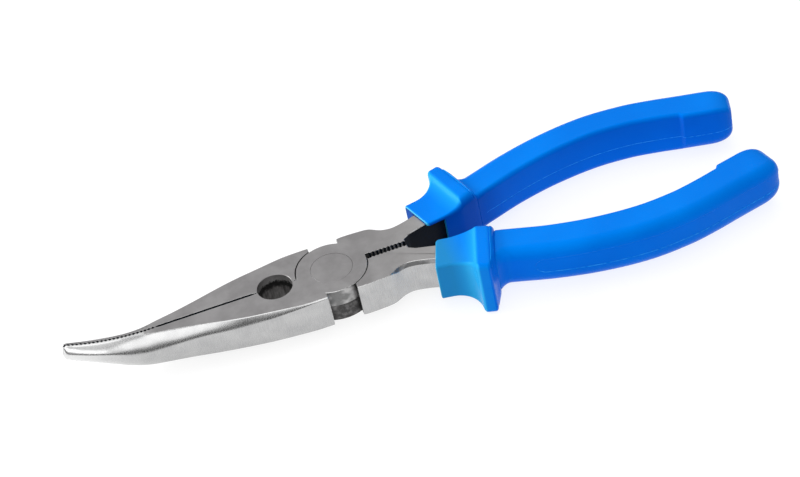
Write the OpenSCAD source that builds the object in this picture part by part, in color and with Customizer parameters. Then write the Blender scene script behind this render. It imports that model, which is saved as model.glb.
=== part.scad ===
// Needle nose pliers with a lap joint, bent nose and moulded grips.
// The origin is on the pivot axis at the underside of the joint. Jaws point to -X, handles to +X, +Z is up.

/* [Joint] */
// Radius of the round lapped joint
hub_r = 10; // [9:0.5:11]
// Thickness of the head
head_t = 10.4; // [9.6:0.2:11.2]
// Radius of the rivet's flush heads
rivet_head_r = 5.9; // [5:0.1:6.5]
// Radius of the rivet's shank
rivet_r = 3.6; // [3:0.1:4]
// Height of each rivet head
rivet_head_t = 2; // [1:0.2:3]

/* [Nose] */
// Length of the jaws from the pivot axis to the tip
nose_len = 76; // [72:0.1:80]
// Distance from the pivot axis to the start of the upward bend
bend_start = 52.8; // [50:0.2:56]
// Bend radius of the nose along its top
bend_top_r = 62; // [50:1:80]
// Bend radius of the nose along its underside
bend_under_r = 22; // [18:1:26]
// Steepest slope of the underside
bend_slope = 0.59; // [0.4:0.01:0.6]
// Radius of the round pipe grip between the jaws
pipe_r = 4.95; // [4:0.05:5.2]
// Distance from the pivot axis to the pipe grip's centre
pipe_x = 16.35; // [15.9:0.05:17]
// Distance from the pivot axis to the start of the jaw teeth
teeth_from = 50.4; // [48:0.2:56]
// Pitch of the jaw and crimping teeth
tooth_pitch = 1.1; // [0.9:0.1:1.6]
// Depth of the jaw teeth
tooth_depth = 0.35; // [0.2:0.05:0.5]

/* [Handles] */
// Distance from the pivot axis to the jaw shoulders
jaw_shoulder_x = 4; // [3.5:0.1:5]
// Distance from the pivot axis to the handle shoulders
tang_shoulder_x = 4.4; // [4:0.1:5.5]
// Half the gap of the toothed crimping slot
crimp_gap = 0.8; // [0.4:0.05:0.9]
// Depth of the teeth in the crimping slot
crimp_depth = 0.35; // [0.3:0.05:0.6]
// Width of the tang inside the grip
tang_w = 5.2; // [4.4:0.2:6]
// Thickness of the tang inside the grip
tang_t = 8.6; // [7:0.2:9.4]

/* [Grips] */
// Half height of the grip
grip_h = 7; // [6.8:0.1:7.4]
// Half height of the grip just behind the thumb guard
grip_h_front = 6.65; // [6.4:0.05:7]
// Half height of the thumb guard
guard_h = 8.8; // [8:0.1:9.2]
// Half height of the sleeve round the tang
sleeve_h = 6; // [5.8:0.1:6.4]
// Tilt of the sleeve's front face
sleeve_tilt = 18; // [14:0.5:20]
// Tilt of the thumb guard
guard_tilt = 16.6; // [14:0.2:18]
// Distance from the pivot axis to the end of the sleeve's open inner side
window_to = 34.6; // [32:0.2:36]
// Depth of the sleeve's open inner side
window_depth = 7.2; // [6.8:0.1:7.4]
// Step of the end block on the inner side
end_step = 1; // [0.6:0.1:1.6]

/* [Hidden] */
$fn = 96;
mid_z = head_t / 2;
lap_gap = 0.05;
hub_gap = 0.25;
run_gap = 0.05;
part_gap = 0.05;
over = 1;
far = 1;
near = -1;

// Nose: slant and rounding of the tip, and where the facet along the top turns round
tip_slant = 0.3;
tip_round = 1.2;
tip_round_x = 1.4;
facet_to = 50;
round_from = 58;
bulge_from = 28;
bulge_to = 42;

// Half width of a jaw's flat top, against the distance from the pivot axis
JAW_FLAT = [[0, 10.8], [8, 10.8], [12, 10.6], [19, 9.45], [26, 8.25], [32, 6.8], [38.3, 5.05], [44.8, 3.45],
    [50.4, 2.3], [54, 1.45], [58, 1], [66, 0.8], [72, 0.8], [76, 0.65], [80, 0.6]];
// Half width of a jaw at the ridge on its outer side
JAW_RIDGE = [[0, 11.15], [8, 11.15], [12, 11.1], [20, 10.3], [26, 9.45], [32.3, 8.35], [39.2, 6.95],
    [46, 5.9], [52.9, 4.9], [59.4, 4.05], [65.5, 3.45], [71.6, 2.65], [75.2, 2.1], [80, 1.5]];
// Drop from a jaw's top to the ridge
RIDGE_DROP = [[0, 0.4], [8, 0.5], [12, 0.9], [20, 1.9], [26, 2.4], [32.3, 2.8], [39.2, 3.2], [46, 3.8],
    [52.9, 4.7], [57, 4.6], [59.4, 4.2], [62.5, 3.3], [65.5, 2.6], [71.6, 2.2], [75.2, 2.2], [80, 2]];
// Half width of a jaw's underside
JAW_BASE = [[0, 11.1], [8, 11.1], [12, 10.8], [22, 9.6], [34, 7.3], [44, 4.9], [52, 3.2], [60, 1.4],
    [64, 0.6], [80, 0.3]];
// Outer edge of a tang from its shoulder to the grip
TANG_OUTER = [[4.4, 10.9], [5.7, 11.1], [10, 11], [13.6, 10.6], [17.4, 9], [20, 8.6], [24.2, 9.6],
    [28, 11], [36, 13.1]];
// Inner edge of a tang beyond the crimping slot
TANG_INNER = [[21.6, crimp_gap], [21.8, 2], [23.6, 3.2], [28.5, 4.75], [36, 6.9]];
// Middle line of a handle
SPINE = [[27.3, 8.5], [38, 10.7], [46, 13.1], [58, 17.4], [70, 20.4], [83, 21.9], [94.5, 21.2],
    [102.7, 19.5], [109, 17.8], [121.5, 14.6], [125, 13.7]];
slot_lead = 0.6;
tang_step = 0.9;

// Grips: distances along a grip from the sleeve's front edge, then offsets from the middle line
sleeve_x = 27.3;
sleeve_from = 0.35;
sweep_from = 3.5;
guard_from = 11.4;
guard_to = 15.2;
grip_from = 19.3;
crease = 0.27;
sleeve_out = 6.2;
guard_out = 12.4;
grip_in = 4.9;
grip_out = 5.9;
sleeve_edge = 0.8;
guard_inner_edge = 2.6;
guard_outer_edge = 1.6;
inner_edge = 1.3;
under_edge = 2.6;
under_end_edge = 4.2;
outer_edge = 3.4;
outer_under_edge = 4.6;
sleeve_corner = 0.5;
full_from = 50;
full_to = 85;
step_from = 109.2;
step_to = 110.6;
end_lean_x = 119;
tang_end_full = 36;
tang_end_x = 112;
// Inner edge of the sleeve and the guard
GUARD_IN = [[0, 5.5], [4, 5.5], [8, 5.95], [10.5, 6.25], [11.8, 6.1], [15.2, 5.5], [17, 5.1],
    [19.3, grip_in]];
// Rounding of the grip's end, as the distance from the pivot axis and how far the section is drawn in
END_ROUND = [[116, 0], [120.2, 0.3], [122.3, 1], [123.6, 2.1], [124.1, 3.2]];

// A smooth curve through a list of points, as a value against x
function clamp(i, n) = max(0, min(n, i));
function slope(p, i) = let (n = len(p) - 1, a = p[clamp(i - 1, n)], b = p[clamp(i + 1, n)])
    (b[1] - a[1]) / (b[0] - a[0]);
function below(p, x) = max(0, min(len(p) - 2, len([for (q = p) if (q[0] <= x) 1]) - 1));
function curve(p, x) = let (i = below(p, x), a = p[i], b = p[i + 1], w = b[0] - a[0], t = (x - a[0]) / w)
    (2 * t ^ 3 - 3 * t ^ 2 + 1) * a[1] + (t ^ 3 - 2 * t ^ 2 + t) * w * slope(p, i)
    + (3 * t ^ 2 - 2 * t ^ 3) * b[1] + (t ^ 3 - t ^ 2) * w * slope(p, i + 1);

function mix(a, b, t) = a + (b - a) * t;
function share(t) = min(1, max(0, t));
function smooth(t) = share(t) ^ 2 * (3 - 2 * share(t));
function sweep(t) = 1 - sqrt(1 - share(t) ^ 2);

// One closed solid through rings of points, capped at both ends
module loft(rings) {
    n = len(rings[0]);
    last = len(rings) - 1;
    sides = [for (i = [0:last - 1], j = [0:n - 1])
        [i * n + j, (i + 1) * n + j, (i + 1) * n + (j + 1) % n, i * n + (j + 1) % n]];
    polyhedron([for (r = rings) each r],
        concat([[for (j = [0:n - 1]) j]], sides, [[for (j = [n - 1:-1:0]) last * n + j]]));
}

// Height of the nose's top and underside at a distance from the pivot axis
function bend(d) = max(0, d - bend_start);
function nose_top(d) = head_t + bend(d) ^ 2 / (2 * bend_top_r);
function nose_under(d) = let (arc = min(bend(d), bend_slope * bend_under_r))
    arc ^ 2 / (2 * bend_under_r) + bend_slope * (bend(d) - arc);

// One section of a jaw: parting face and underside, outer side up to the ridge, facet and flat top
function jaw_ring(d, cut = 0) = let (
    top = nose_top(d) - cut,
    under = nose_under(d) + cut,
    flat = curve(JAW_FLAT, d),
    ridge = curve(JAW_RIDGE, d) - cut,
    base = max(0.2, curve(JAW_BASE, d) - cut),
    drop = curve(RIDGE_DROP, d),
    low = top - drop - under,
    mid = (top + under) / 2,
    h = (top - under) / 2,
    power = mix(1, 1.2, smooth((d - facet_to) / (round_from - facet_to))),
    root = mix(1.3, 1.5, smooth((d - bulge_from) / (bulge_to - bulge_from))),
    slant = tip_slant * max(0, (d - bend_start) / (nose_len - bend_start)),
    points = concat([[part_gap, under]],
        [for (v = [1:-0.25:0]) [ridge - (ridge - base) * v ^ 2, under + low * (1 - v)]],
        [for (k = [1:5]) let (q = cos(18 * k))
            [mix(flat, ridge, q), top - drop * (1 - (1 - q ^ power) ^ (1 / root))]],
        [[part_gap, top]]))
    [for (p = points) [slant * (p[1] - mid) / h - d, p[0], p[1]]];

module jaw(side) {
    tip = [for (a = [12, 38, 64, 90])
        jaw_ring(nose_len - tip_round_x * (1 - cos(a)), tip_round * (1 - sin(a)))];
    shaft = [for (d = [72.5:-2.5:10]) jaw_ring(d)];
    teeth = floor((nose_len - teeth_from) / tooth_pitch);
    mirror([0, side < 0 ? 1 : 0, 0])
        difference() {
            loft(concat(tip, shaft, [jaw_ring(jaw_shoulder_x)]));
            linear_extrude(2 * head_t)
                for (i = [0:teeth - 1])
                    translate([tooth_pitch * (i + 0.5) - nose_len, 0])
                        polygon([[-tooth_pitch / 2, 0], [0, part_gap + tooth_depth], [tooth_pitch / 2, 0]]);
        }
}

// Outline of a tang in the open, from its shoulder into the sleeve
module tang_outline() {
    slot_end = TANG_INNER[0][0];
    grooves = floor((slot_end - hub_r) / tooth_pitch) - 1;
    inner = [for (i = [0:grooves]) let (x = slot_end - slot_lead - tooth_pitch * i)
        each [[x + tooth_pitch / 2, crimp_gap], [x, crimp_gap + crimp_depth]]];
    outer = [for (x = [tang_shoulder_x:tang_step:tang_end_full]) [x, curve(TANG_OUTER, x)]];
    back = [for (i = [len(TANG_INNER) - 1:-1:0]) TANG_INNER[i]];
    polygon(concat(outer, back, inner, [[tang_shoulder_x, crimp_gap]]));
}

// A bar that follows the handle's middle line inside the grip
module tang_bar() {
    xs = [for (x = [tang_end_full - 4:3:tang_end_x]) x];
    translate([0, 0, mid_z - tang_t / 2])
        linear_extrude(tang_t)
            polygon(concat([for (x = xs) [x, curve(SPINE, x) + tang_w / 2]],
                [for (i = [len(xs) - 1:-1:0]) [xs[i], curve(SPINE, xs[i]) - tang_w / 2]]));
}

module tang(side) {
    mirror([0, side < 0 ? 1 : 0, 0]) {
        linear_extrude(head_t) tang_outline();
        tang_bar();
    }
}

// One forged half: a jaw on one side, half of the lapped hub, and the tang on the other side
module half(jaw_side, hub_z, clear_z) {
    difference() {
        union() {
            difference() {
                union() {
                    jaw(jaw_side);
                    tang(-jaw_side);
                }
                translate([0, 0, clear_z]) cylinder(r = hub_r + hub_gap, h = mid_z + over);
            }
            translate([0, 0, hub_z]) cylinder(r = hub_r, h = mid_z - lap_gap);
        }
        translate([-pipe_x, 0, -over]) cylinder(r = pipe_r, h = head_t + 2 * over);
    }
}

module upper_half() {
    color("#8f8f8d")
        difference() {
            half(near, mid_z + lap_gap, lap_gap - over);
            translate([0, 0, -over]) cylinder(r = rivet_r + run_gap, h = head_t + 2 * over);
            translate([0, 0, head_t - rivet_head_t - run_gap])
                cylinder(r = rivet_head_r + run_gap, h = rivet_head_t + over);
        }
}

module lower_half() {
    color("#8a8a88")
        difference() {
            half(far, 0, mid_z - lap_gap);
            translate([0, 0, -over]) cylinder(r = rivet_r, h = head_t + 2 * over);
            translate([0, 0, -over]) cylinder(r = rivet_head_r, h = rivet_head_t + over);
        }
}

module pivot_rivet() {
    color("#9a9a98") {
        cylinder(r = rivet_r, h = head_t);
        cylinder(r = rivet_head_r, h = rivet_head_t);
        translate([0, 0, head_t - rivet_head_t]) cylinder(r = rivet_head_r, h = rivet_head_t);
    }
}

// One section across the handle. Edges are the radii of its corners: upper outer, upper inner, lower
// inner and lower outer
function grip_ring(x, low, high, h, edges, tilt) = [for (q = [0:3], k = [0:5])
    let (outer = q == 0 || q == 3, r = edges[q], a = 90 * q + 18 * k,
        u = (outer ? high - r : low + r) + r * cos(a), v = (q < 2 ? 1 : -1) * (h - r) + r * sin(a))
    [x - u * sin(tilt), curve(SPINE, x) + u * cos(tilt), mid_z + v]];

// Lean of the handle's middle line, and the grip's half height
function lean(x) = atan((curve(SPINE, x + 1) - curve(SPINE, x - 1)) / 2);
function grip_height(x) = mix(grip_h_front, grip_h, smooth((x - full_from) / (full_to - full_from)));

// The sleeve round the tang, sweeping up to the thumb guard's front face
function sleeve_ring(s, corner = 0) = let (
    e = sweep((s - sweep_from) / (guard_from - sweep_from)),
    inner = mix(sleeve_edge, guard_inner_edge, e),
    outer = mix(sleeve_edge, guard_outer_edge, e))
    grip_ring(sleeve_x + s, corner - curve(GUARD_IN, s), mix(sleeve_out, guard_out, e),
        mix(sleeve_h, guard_h, e), [outer, inner, inner, outer],
        mix(sleeve_tilt, guard_tilt, s / guard_from));

// The hollow behind the thumb guard, down to the grip
function hollow_ring(t) = let (
    e = sweep(1 - t),
    rise = sqrt(1 - share(t / crease) ^ 2),
    s = mix(guard_to, grip_from, t),
    x = sleeve_x + s,
    inner = mix(inner_edge, guard_inner_edge, max(e, rise)),
    under = mix(under_edge, guard_inner_edge, max(e, rise)),
    outer = mix(outer_edge, guard_outer_edge, e),
    outer_under = mix(outer_under_edge, guard_outer_edge, e))
    grip_ring(x, -curve(GUARD_IN, s), mix(grip_out, guard_out, e), mix(grip_height(x), guard_h, rise),
        [outer, inner, under, outer_under], mix(lean(x), guard_tilt, e));

function body_ring(x) = grip_ring(x, -grip_in, grip_out, grip_height(x),
    [outer_edge, inner_edge, under_edge, outer_under_edge], lean(x));

// The thicker block at the grip's end, drawn in by a rounding
function end_ring(x, cut) = grip_ring(x, cut - grip_in - end_step, grip_out - cut, grip_h - cut,
    [outer_edge - cut / 2, inner_edge, under_end_edge - cut / 2, outer_under_edge - cut / 2],
    lean(min(x, end_lean_x)));

module grip(side) {
    sleeve = [for (s = [0.95, 2, 4, 6, 7.5, 9, 10, 10.7, guard_from]) sleeve_ring(s)];
    hollow = [for (t = [0, 0.06, 0.14, 0.21, crease, 0.4, 0.6, 1]) hollow_ring(t)];
    body = [for (x = [50:4:106]) body_ring(x)];
    block = [for (p = END_ROUND) end_ring(p[0], p[1])];
    mirror([0, side < 0 ? 1 : 0, 0])
        difference() {
            loft(concat([sleeve_ring(sleeve_from, sleeve_corner)], sleeve, hollow, body,
                [body_ring(step_from)], [end_ring(step_to, 0)], block));
            tang_bar();
            linear_extrude(head_t) tang_outline();
            translate([sleeve_x - over, 0, 0]) cube([window_to - sleeve_x + over, window_depth, head_t]);
        }
}

module left_grip() {
    color("#0b2fb5") grip(far);
}

module right_grip() {
    color("#0b2fb5") grip(near);
}

upper_half();
lower_half();
pivot_rivet();
left_grip();
right_grip();
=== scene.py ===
import math

import bpy
import bmesh
import numpy as np
from mathutils import Matrix, Vector


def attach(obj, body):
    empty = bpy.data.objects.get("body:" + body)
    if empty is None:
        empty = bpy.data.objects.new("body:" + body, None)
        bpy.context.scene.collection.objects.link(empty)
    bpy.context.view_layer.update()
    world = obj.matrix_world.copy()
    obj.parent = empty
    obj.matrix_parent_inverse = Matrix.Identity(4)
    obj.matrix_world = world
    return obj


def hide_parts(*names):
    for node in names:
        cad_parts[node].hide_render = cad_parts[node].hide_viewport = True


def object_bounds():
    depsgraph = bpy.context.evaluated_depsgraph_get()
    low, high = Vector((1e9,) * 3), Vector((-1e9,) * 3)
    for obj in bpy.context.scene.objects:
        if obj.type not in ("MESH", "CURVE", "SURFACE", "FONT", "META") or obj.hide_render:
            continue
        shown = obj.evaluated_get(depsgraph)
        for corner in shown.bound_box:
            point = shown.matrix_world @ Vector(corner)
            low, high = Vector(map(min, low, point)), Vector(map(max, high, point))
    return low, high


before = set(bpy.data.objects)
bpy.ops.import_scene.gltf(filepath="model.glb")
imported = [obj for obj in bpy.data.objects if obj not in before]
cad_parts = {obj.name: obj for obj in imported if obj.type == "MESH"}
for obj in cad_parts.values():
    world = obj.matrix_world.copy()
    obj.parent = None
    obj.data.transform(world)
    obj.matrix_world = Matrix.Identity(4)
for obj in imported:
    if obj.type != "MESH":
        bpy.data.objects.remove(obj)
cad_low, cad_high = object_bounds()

# Every length below is in millimetres, in the frame of the part: the origin is on the pivot axis at the
# underside of the joint, the jaws point to -X, the handles to +X, and +Z is up.
MM = 0.001
FAR, NEAR = 1, -1

# Joint
HEAD_T = 10.4
MID_Z = HEAD_T / 2
HUB_R = 10.0
HUB_EDGE = 0.1
HUB_GAP = 0.25
LAP_GAP = 0.05
RECESS_EDGE = 0.05
RIVET_R = 3.6
RIVET_HEAD_R = 5.9
RIVET_HEAD_T = 2.0
RIVET_EDGE = 0.04
RUN_GAP = 0.05
PIPE_R = 4.95
PIPE_X = 16.35
PIPE_EDGE = 0.1

# How far a cutting tool stands out past what it cuts, and the number of sides of a round
OVER = 1.0
ROUND_STEPS = 160

# Nose. Its tables give a measure against the distance from the pivot axis.
NOSE_LEN = 76.0
JAW_SHOULDER_X = 4.0
SHOULDER_EDGE = 0.2
SHOULDER_INSET = 0.18
BEND_START = 52.8
BEND_TOP_R = 62.0
BEND_UNDER_R = 22.0
BEND_SLOPE = 0.59
JAW_FLAT = [(0, 10.8), (8, 10.8), (12, 10.6), (19, 9.45), (26, 8.25), (32, 6.8), (38.3, 5.05),
            (44.8, 3.45), (50.4, 2.3), (54, 1.45), (58, 1.0), (66, 0.8), (72, 0.8), (76, 0.65), (80, 0.6)]
JAW_RIDGE = [(0, 11.15), (8, 11.15), (12, 11.1), (20, 10.3), (26, 9.45), (32.3, 8.35), (39.2, 6.95),
             (46, 5.9), (52.9, 4.9), (59.4, 4.05), (65.5, 3.45), (71.6, 2.65), (75.2, 2.1), (80, 1.5)]
RIDGE_DROP = [(0, 0.4), (8, 0.5), (12, 0.9), (20, 1.9), (26, 2.4), (32.3, 2.8), (39.2, 3.2), (46, 3.8),
              (52.9, 4.7), (57, 4.6), (59.4, 4.2), (62.5, 3.3), (65.5, 2.6), (71.6, 2.2), (75.2, 2.2),
              (80, 2.0)]
JAW_BASE = [(0, 11.1), (8, 11.1), (12, 10.8), (22, 9.6), (34, 7.3), (44, 4.9), (52, 3.2), (60, 1.4),
            (64, 0.6), (80, 0.3)]
BASE_MIN = 0.22
BASE_EDGE = 0.2
FACET_TO, ROUND_FROM = 50.0, 58.0
FACET_POWER, ROUND_POWER = 1.0, 1.2
ROOT_FROM, ROOT_RUN = 28, 14
BACK_ROOT, FRONT_ROOT = 1.3, 1.5
TOP_EDGE = 0.07
# Least width of a strip between two edges
HAIR = 0.02
# Least half thickness of a section that the tip's slant reckons with
HALF_MIN = 0.1
FACET_STEPS, SIDE_STEPS, SHAFT_STEPS, TIP_STEPS = 14, 12, 48, 6

# Parting face: a slit between the pipe grip and the teeth
PART_GAP = 0.05
TEETH_FROM = 50.4
TOOTH_PITCH = 1.1
TOOTH_DEPTH = 0.35
TOOTH_HALF = 0.481
SHAFT_LEAD = 0.6
SLIT_FROM, SLIT_FADE = 21.5, 2
SLIT_LEAD, SLIT_END_FADE = 1, 1.5
SLIT_EDGE = 0.3
CLOSED_EDGE = 0.03
SLIT_LIP = 0.06
LIP_DROP = 0.04
# Heights of its lower and upper bevels, as shares of their width
BEVEL_UNDER, BEVEL_TOP = 1.2, 3
PARTING_INSET = 0.25

# Tip
TIP_SLANT = 0.3
TIP_ROUND = 1.2
TIP_ROUND_X = 1.4
TIP_TURN = 12
TIP_CLEAR = 0.1
# Where the near jaw's top starts to take painted light
PAINTED_TOP_LIGHT_FROM = TEETH_FROM + 4

# Tangs
TANG_SHOULDER_X = 4.4
TANG_W = 5.2
TANG_T = 8.6
TANG_END_FULL = 36.0
TANG_END_X = 112.0
TANG_OUTER = [(4.4, 10.9), (5.7, 11.1), (10, 11), (13.6, 10.6), (17.4, 9), (20, 8.6), (24.2, 9.6), (28, 11),
              (36, 13.1)]
TANG_INNER = [(21.6, 0.65), (21.8, 2), (23.6, 3.2), (28.5, 4.75), (36, 6.9)]
TANG_EDGE = 0.12
BEVEL_FROM, BEVEL_RUN = 13.4, 4.0
BEVEL_W, BEVEL_H = 0.7, 1.5
# Shares of the bevel's width and height at its corners, from the wall to the top
BEVEL = [(0, 1), (0.14, 0.8), (0.79, 0.1), (1, 0)]
UNDER_BEVEL = 0.4
INNER_BEVEL = 0.2
FINE_EDGE = 0.3
CRIMP_GAP = 0.8
CRIMP_DEPTH = 0.35
CRIMP_EDGE = 0.04
CRIMP_LEAD = 0.6
SLOT_EDGE = 0.05
BAR_LEAD = 4
TANG_STEPS, NECK_STEPS, BAR_STEPS = 72, 4, 40
# The handles' middle line
SPINE = [(27.3, 8.5), (38, 10.7), (46, 13.1), (58, 17.4), (70, 20.4), (83, 21.9), (94.5, 21.2), (102.7, 19.5),
         (109, 17.8), (121.5, 14.6), (125, 13.7)]

# Sleeve and guard. SLEEVE_LIP, SLEEVE_PLAIN, SWEEP_FROM, GUARD_FROM, GUARD_TO, GUARD_IN and GRIP_FROM run along
# the handle from SLEEVE_X.
SLEEVE_X = 27.3
SLEEVE_FROM = 0.35
SLEEVE_H = 6.0
SLEEVE_OUT = 6.2
SLEEVE_EDGE = 0.8
SLEEVE_TILT = 18.0
# Along, off all sides, and off the inner side as well
SLEEVE_LIP = [(0.0, 0.42, 0.6), (0.06, 0.22, 0.5), (0.2, 0.08, 0.33), (0.42, 0.0, 0.16), (0.7, 0.0, 0.05),
              (1.0, 0.0, 0.0)]
LIP_RINGS = 2
SLEEVE_PLAIN = [1.8, 2.6]
WINDOW_LEAD = 2
WINDOW_TO = 34.6
WINDOW_Y = 7.2
POCKET_GAP = 0.03
SWEEP_FROM = 3.5
GUARD_FROM, GUARD_TO = 11.4, 15.2
GUARD_H = 8.8
GUARD_OUT, GUARD_BACK_OUT = 12.4, 12.5
GUARD_IN = [(0, 5.5), (4, 5.5), (8, 5.95), (10.5, 6.25), (11.8, 6.1), (15.2, 5.5), (17, 5.1), (19.3, 4.9)]
GUARD_EDGE = 2.6
GUARD_OUTER_EDGE = 1.6
GUARD_TILT = 16.6
RIM = 0.8
FRONT_RIM = 1.2
FRONT_RIM_TURN = 20
RIM_SHARE = 0.2
RIM_FALL = 0.9
# How far along its quarter turn a sweep goes before the guard's rim takes over
SWEEP_TO = math.sqrt(1 - RIM_SHARE ** 2)
SWEEP_START = 0.15
SWEEP_STEPS, FRONT_RIM_STEPS, RIM_STEPS = 14, 7, 5
# The crease at the foot of the guard, as a share of the hollow behind it
CREASE = 0.27
CREASE_DEPTH = 0.15
CREASE_LIP, CREASE_FLAT, CREASE_TO = 0.01, 0.035, 0.055
CREASE_CLEAR = (0.02, 0.07)

# Grips
GRIP_FROM = 19.3
GRIP_H_FRONT, GRIP_H = 6.65, 7.0
FULL_FROM, FULL_TO = 50.0, 85.0
GRIP_IN = 4.9
GRIP_OUT = 5.87
INNER_EDGE = 1.3
UNDER_EDGE = 2.6
OUTER_EDGE = 3.4
OUTER_UNDER_EDGE = 4.6
CORNER_STEPS = 10
PANEL_X = 53.5
PANEL_ROUND = 4.0
PANEL_LEAD = 0.05
PANEL_V = 0.85
PANEL_H = 2.55
PANEL_MIN = 0.15
PANEL_DEPTH = 0.14
PANEL_EDGE = 0.08
PANEL_CLEAR = 0.12
SEAM_FROM, SEAM_FADE = 47.0, 2
SEAM_V = -1.0
SEAM_PROUD = 0.1
SEAM_TOP, SEAM_FLAT, SEAM_FOOT = 0.12, 0.1, 0.2
# The first point of the seam in a section, after the panel's upper edge and two corners
SEAM_POINT = 2 * CORNER_STEPS + 4

# End block
STEP_FROM, STEP_TO = 109.2, 110.6
END_STEP = 1.0
UNDER_END_EDGE = 4.2
BLOCK_ROUND_X = 117.0
BLOCK_ROUND = 6.98
END_LEAN_X = 119
END_TURN = 82
END_CUT, END_POWER = 3.2, 1.2
RAMP_STEPS, BLOCK_STEPS, END_STEPS = 8, 5, 12
# The part of the ramp that is painted pale, a painted highlight
RAMP_FROM, RAMP_TO = STEP_FROM + 0.1, STEP_TO - 0.2

# Creases are shown at edges sharper than this many degrees
FORGED_CREASE, RIVET_CREASE, GRIP_CREASE = 22, 28, 40

# Which material each face of a metal piece has
GROUND, FLANK, WORN, SHADE, BLACK, NOTCH, BORE = range(7)
# and each face of a grip
BULK, THIN, MOUTH, SEAM = range(4)


# ---------------------------------------------------------------- curves

def curve(table, x):
    """A smooth curve through a table of points, as a value against x."""
    last = len(table) - 1
    i = max(0, min(last - 1, sum(1 for q in table if q[0] <= x) - 1))

    def slope(k):
        a, b = table[max(0, k - 1)], table[min(last, k + 1)]
        return (b[1] - a[1]) / (b[0] - a[0])

    a, b = table[i], table[i + 1]
    w = b[0] - a[0]
    t = (x - a[0]) / w
    return ((2 * t ** 3 - 3 * t ** 2 + 1) * a[1] + (t ** 3 - 2 * t ** 2 + t) * w * slope(i)
            + (3 * t ** 2 - 2 * t ** 3) * b[1] + (t ** 3 - t ** 2) * w * slope(i + 1))


def mix(a, b, t):
    return a + (b - a) * t


def clamp(t):
    return min(1.0, max(0.0, t))


def smooth(t):
    t = clamp(t)
    return t * t * (3 - 2 * t)


def sweep(t):
    return 1 - math.sqrt(1 - clamp(t) ** 2)


def steps(a, b, n):
    return [a + (b - a) * i / n for i in range(n + 1)]


# ---------------------------------------------------------------- meshes

def mesh_object(name, points, faces, finishes=None):
    """A closed mesh from points in millimetres, with its faces turned outwards."""
    mesh = bpy.data.meshes.new(name)
    mesh.from_pydata([[c * MM for c in p] for p in points], [], faces)
    if finishes is not None:
        mesh.polygons.foreach_set("material_index", finishes)
    bm = bmesh.new()
    bm.from_mesh(mesh)
    bmesh.ops.recalc_face_normals(bm, faces=bm.faces)
    bm.to_mesh(mesh)
    bm.free()
    obj = bpy.data.objects.new(name, mesh)
    bpy.context.scene.collection.objects.link(obj)
    return obj


def loft(name, rings, finish=lambda i, j: 0, start=0, end=0):
    """A solid through rings of points. finish(i, j) gives the material of the face after ring i, point j."""
    n, last = len(rings[0]), len(rings) - 1
    faces = [(i * n + j, (i + 1) * n + j, (i + 1) * n + (j + 1) % n, i * n + (j + 1) % n)
             for i in range(last) for j in range(n)]
    finishes = [finish(i, j) for i in range(last) for j in range(n)]
    faces += [tuple(range(n)), tuple(range(last * n, (last + 1) * n))]
    return mesh_object(name, [p for r in rings for p in r], faces, finishes + [start, end])


def lathe(name, profile, finish, x0=0.0):
    """A solid of revolution about a vertical axis at x0, through (radius, z) corners. finish lists the
    materials of its first cap, of each band and of its last cap."""
    turns = [2 * math.pi * k / ROUND_STEPS for k in range(ROUND_STEPS)]
    rings = [[(x0 + r * math.cos(a), r * math.sin(a), z) for a in turns] for r, z in profile]
    return loft(name, rings, lambda i, j: finish[i + 1], finish[0], finish[-1])


def combine(obj, tool, how):
    """Joins tool to obj or cuts it off, and uses it up."""
    mod = obj.modifiers.new("combine", "BOOLEAN")
    mod.operation, mod.solver, mod.object = how, "EXACT", tool
    graph = bpy.context.evaluated_depsgraph_get()
    mesh = bpy.data.meshes.new_from_object(obj.evaluated_get(graph))
    obj.modifiers.clear()
    spent = [obj.data, tool.data]
    obj.data = mesh
    bpy.data.objects.remove(tool)
    for m in spent:
        bpy.data.meshes.remove(m)


def tidy_mesh(obj, angle, weld=0.004):
    """Welds slivers, and shades smooth with creases at edges sharper than angle."""
    bm = bmesh.new()
    bm.from_mesh(obj.data)
    bmesh.ops.remove_doubles(bm, verts=bm.verts, dist=weld * MM)
    bmesh.ops.dissolve_degenerate(bm, dist=weld * MM / 2, edges=bm.edges)
    for f in bm.faces:
        f.smooth = True
    for e in bm.edges:
        e.smooth = len(e.link_faces) == 2 and e.calc_face_angle(0) < math.radians(angle)
    bm.to_mesh(obj.data)
    bm.free()
    obj.data.update()


def weigh_normals(obj):
    mod = obj.modifiers.new("weighted", "WEIGHTED_NORMAL")
    mod.keep_sharp = True
    mod.weight = 80


# ---------------------------------------------------------------- the forged halves

def bend(d):
    return max(0.0, d - BEND_START)


def nose_top(d):
    return HEAD_T + bend(d) ** 2 / (2 * BEND_TOP_R)


def nose_under(d):
    arc = min(bend(d), BEND_SLOPE * BEND_UNDER_R)
    return arc ** 2 / (2 * BEND_UNDER_R) + BEND_SLOPE * (bend(d) - arc)


def parting(d):
    """How far the parting face stands off the middle plane, with its teeth towards the tip."""
    if d < TEETH_FROM:
        return PART_GAP
    k = ((NOSE_LEN - d) / TOOTH_PITCH) % 1.0
    return max(PART_GAP, (PART_GAP + TOOTH_DEPTH) * (1 - abs(k - 0.5) * 2))


def parting_edge(d):
    """Size of the parting face's bevels, which make the slit between the pipe grip and the teeth."""
    edge = mix(CLOSED_EDGE, SLIT_EDGE, smooth((d - SLIT_FROM) / SLIT_FADE))
    return mix(edge, CLOSED_EDGE, smooth((d - TEETH_FROM + SLIT_LEAD) / SLIT_END_FADE))


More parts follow.
